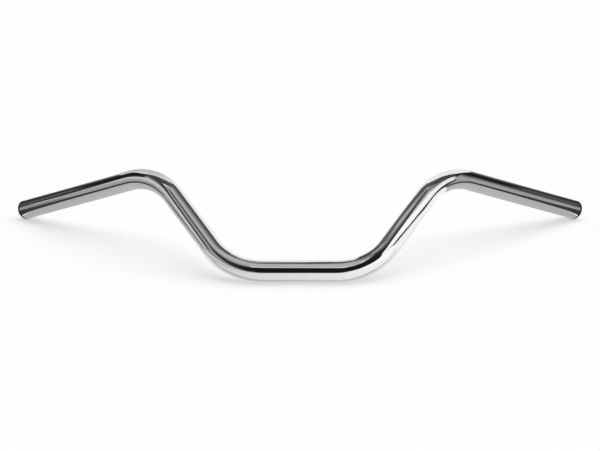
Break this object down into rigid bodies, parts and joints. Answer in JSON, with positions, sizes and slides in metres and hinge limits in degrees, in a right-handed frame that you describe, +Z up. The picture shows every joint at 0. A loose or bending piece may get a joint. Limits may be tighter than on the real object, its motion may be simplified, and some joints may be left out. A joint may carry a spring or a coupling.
{
  "type": "bicycle handlebar",
  "caption": "Chrome-plated handlebar bent from one steel tube: a straight clamp section, splayed risers and grips that sweep back and down, with a black plug in each end.",
  "frame": {"origin": "middle of the straight clamp section, on the tube's axis", "axes": "+X along the clamp section towards the rider's left, +Y the way the grips sweep back, +Z up with the bar lying on its clamp section and both end plugs"},
  "size_m": [0.668, 0.2568, 0.0863],
  "materials": {
    "chrome_plate": "bright chrome plate on polished steel tube",
    "plug_plastic": "black moulded plastic, satin"
  },
  "bodies": {
    "root": {"handlebar_tube": "chrome_plate", "left_end_plug": "plug_plastic", "right_end_plug": "plug_plastic"}
  },
  "joints": []
}
